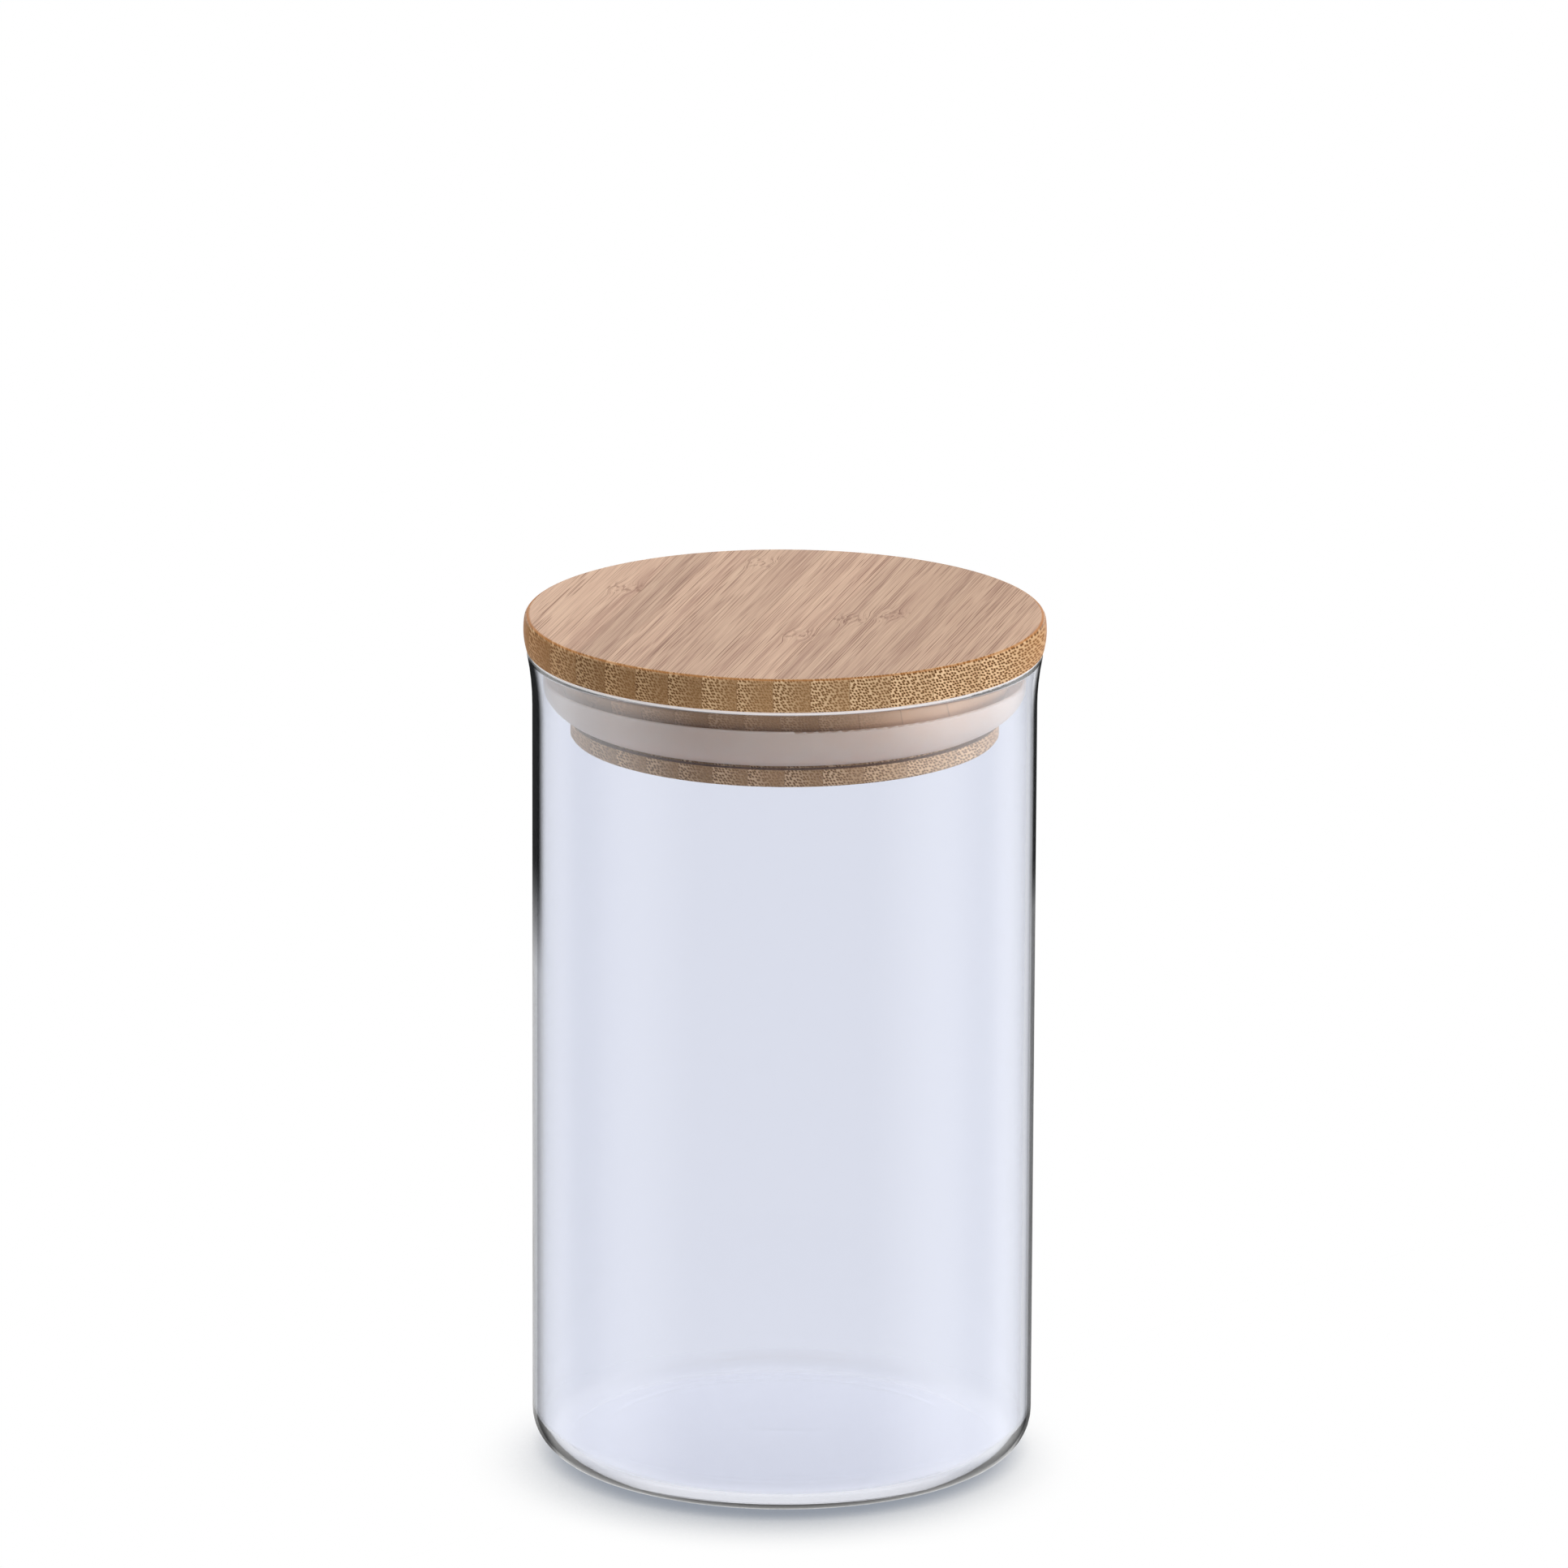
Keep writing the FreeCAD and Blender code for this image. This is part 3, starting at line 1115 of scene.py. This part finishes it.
@dataclass(frozen=True)
class ReflectionScreen:
    """A curved screen round the jar that only reflections see: black in front, bright at the sides."""

    radius: float = 0.45
    reach: float = math.radians(150)
    bottom: float = -0.4
    top: float = 0.6
    steps: int = 60
    side_fade: Span = (-0.3, 0.3)
    front_fade: Span = (math.radians(35), math.radians(85))
    back_fade: Span = (math.radians(110), math.radians(150))
    end_fade: Span = (0.28, 0.5)
    left_glow: Colour = grey(2.8)
    right_glow: Colour = grey(3.5)
    back_glow: Colour = grey(0.35)

    def shape(self) -> bpy.types.Object:
        """Bend the screen round the jar.

        Returns:
            The screen's object.
        """
        points = []
        for step in range(self.steps + 1):
            turn = self.reach * (2 * step / self.steps - 1)
            x = self.radius * math.sin(turn)
            y = -self.radius * math.cos(turn)
            points += [(x, y, self.bottom), (x, y, self.top)]
        faces = [(2 * i, 2 * i + 2, 2 * i + 3, 2 * i + 1) for i in range(self.steps)]
        return new_object("reflection_screen", points, faces)

    def build(self) -> None:
        """Set the screen up."""
        screen = self.shape()
        screen.visible_camera = False
        screen.visible_diffuse = False
        screen.visible_transmission = False
        screen.visible_shadow = False
        material, bench = new_finish(screen.name)
        place = bench.add("SeparateXYZ", inputs={0: bench.add("TexCoord", output="Object")})
        turn = bench.math("ARCTAN2", place.at("X"), -place.at("Y"))
        colour = bench.blend(bench.smooth(turn, *self.side_fade), self.left_glow, self.right_glow)
        colour = bench.blend(bench.smooth(abs(turn), *self.front_fade), BLACK, colour)
        colour = bench.blend(bench.smooth(abs(turn), *self.back_fade), colour, self.back_glow)
        from_middle = abs(place.at("Z") - (self.bottom + self.top) / 2)
        colour = bench.blend(bench.smooth(from_middle, *self.end_fade), colour, WHITE)
        bench.surface(bench.glow(colour))
        dress(screen, material)
        screen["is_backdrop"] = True


@dataclass
class Studio:
    """The pale floor, the white surroundings, the soft lamps and the reflection screen."""

    aim: Vector
    floor_drop: float = 0.0002
    floor_reach: float = 8.0
    floor_colour: Colour = (0.84, 0.83, 0.81, 1.0)
    floor_glow: Colour = (0.17, 0.18, 0.20, 1.0)
    shadow_colour: Colour = srgb(138, 145, 156)
    shadow_fade: Span = (0.03, 0.06)
    contact_reach: float = 0.03
    contact_lean: Tuple[float, float, float] = (0.1, 0.6, 0.8)
    contact_open: Span = (0.0, 0.8)
    contact_samples: int = 16
    fill: Colour = (0.23, 0.231, 0.236, 1.0)
    softboxes: Tuple[Softbox, ...] = (
        Softbox(Side.RIGHT, 18.0, 1.0, (1.1, 0.7), 0.54),
        Softbox(Side.LEFT, 18.0, 1.0, (0.9, 0.7), 0.125),
        Softbox(Side.FRONT, 8.0, 1.2, (0.8, 0.5), 0.13),
        Softbox(Side.ABOVE, 72.0, 0.9, (0.9, 0.8), 0.70),
    )
    screen: ReflectionScreen = ReflectionScreen()

    def before_matt(self, bench: Bench, path: Wire) -> Wire:
        """1 for rays that have met no matt surface on their way from the camera."""
        return bench.math("LESS_THAN", path.at("Diffuse Depth"), HALF_COUNT)

    def sees_white(self, bench: Bench) -> Wire:
        """Pick the rays that see the surroundings white.

        Args:
            bench: The world's bench.

        Returns:
            1 for rays from the camera, a gloss or glass, 0 for those that light matt surfaces.
        """
        path = bench.add("LightPath")
        seen = bench.math("MAXIMUM", path.at("Is Camera Ray"), path.at("Is Transmission Ray"))
        seen = bench.math("MAXIMUM", seen, path.at("Is Glossy Ray"))
        return seen * self.before_matt(bench, path)

    def contact_shadow(self, bench: Bench) -> Wire:
        """How open the floor is to the light.

        Args:
            bench: The floor's bench.

        Returns:
            0 under the jar's foot, rising to 1 away from it.
        """
        near = {"Distance": self.contact_reach, "Normal": bench.vector(*self.contact_lean)}
        sky = bench.add("AmbientOcclusion", {"samples": self.contact_samples}, near, output="AO")
        return bench.smooth(sky, *self.contact_open)

    def floor(self) -> None:
        """Lay the floor, which keeps the shadow round the foot and goes to white."""
        reach = self.floor_reach
        corners = [(-reach, -reach), (reach, -reach), (reach, reach), (-reach, reach)]
        floor = new_object("floor", [(x, y, -self.floor_drop) for x, y in corners], [(0, 1, 2, 3)])
        material, bench = new_finish("pale_floor")
        matt = bench.add("BsdfDiffuse", inputs={"Color": self.floor_colour})
        lifted = bench.add("AddShader", inputs={0: matt, 1: bench.glow(self.floor_glow)})
        radius = bench.length(bench.add("TexCoord", output="Object"))
        far = bench.smooth(radius, *self.shadow_fade)
        bright = bench.layer(far, lifted, bench.glow(WHITE))
        shaded = bench.layer(self.contact_shadow(bench), bench.glow(self.shadow_colour), bright)
        path = bench.add("LightPath")
        through = path.at("Is Transmission Ray") * self.before_matt(bench, path)
        unseen = bench.layer(through, matt, bright)
        bench.surface(bench.layer(path.at("Is Camera Ray"), unseen, shaded))
        dress(floor, material)
        floor.visible_glossy = False
        floor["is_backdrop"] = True

    def surroundings(self) -> None:
        """Make the world: white where it is seen, and a soft fill where it lights."""
        world = bpy.data.worlds.new("studio")
        bpy.context.scene.world = world
        bench = Bench(world)
        fill = bench.add("Background", inputs={"Color": self.fill, "Strength": 1.0})
        white = bench.add("Background", inputs={"Color": WHITE, "Strength": 1.0})
        bench.add("OutputWorld", inputs={"Surface": bench.layer(self.sees_white(bench), fill, white)})

    def build(self) -> None:
        """Set up the whole studio."""
        self.floor()
        self.surroundings()
        for softbox in self.softboxes:
            softbox.build(self.aim)
        self.screen.build()
        bpy.context.scene.view_settings.view_transform = "Standard"


@dataclass(frozen=True)
class ProductCamera:
    """A long lens at the photograph's viewing angle."""

    aim: Tuple[float, float, float] = (-0.00008, 0.0, 0.13699)
    distance: float = 2.7846
    look_down: float = math.radians(15.37)
    roll: float = math.radians(0.25)
    sensor_mm: float = 36.0
    lens_mm: float = 322.4

    def build(self) -> None:
        """Place the camera and make it the scene's own."""
        data = bpy.data.cameras.new("product_camera")
        data.sensor_fit = "HORIZONTAL"
        data.sensor_width = self.sensor_mm
        data.lens = self.lens_mm
        back = Vector((0.0, -math.cos(self.look_down), math.sin(self.look_down)))
        up = Vector((0.0, math.sin(self.look_down), math.cos(self.look_down)))
        level = Vector((1.0, 0.0, 0.0))
        right = level * math.cos(self.roll) + up * math.sin(self.roll)
        upright = up * math.cos(self.roll) - level * math.sin(self.roll)
        camera = bpy.data.objects.new("product_camera", data)
        turned = Matrix((right, upright, back)).transposed().to_4x4()
        camera.matrix_world = Matrix.Translation(Vector(self.aim) + back * self.distance) @ turned
        bpy.context.scene.collection.objects.link(camera)
        bpy.context.scene.camera = camera


def main() -> None:
    """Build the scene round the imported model."""
    logging.basicConfig(level=logging.INFO, format="%(name)s: %(message)s")
    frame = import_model()
    packed_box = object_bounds()
    for part in (GlassJar(frame), SealRing(frame), BambooLid(frame)):
        part.dress()
    low, high = (Vector(corner) for corner in packed_box)
    Studio((low + high) / 2).build()
    ProductCamera().build()


if __name__ == "__main__":
    main()
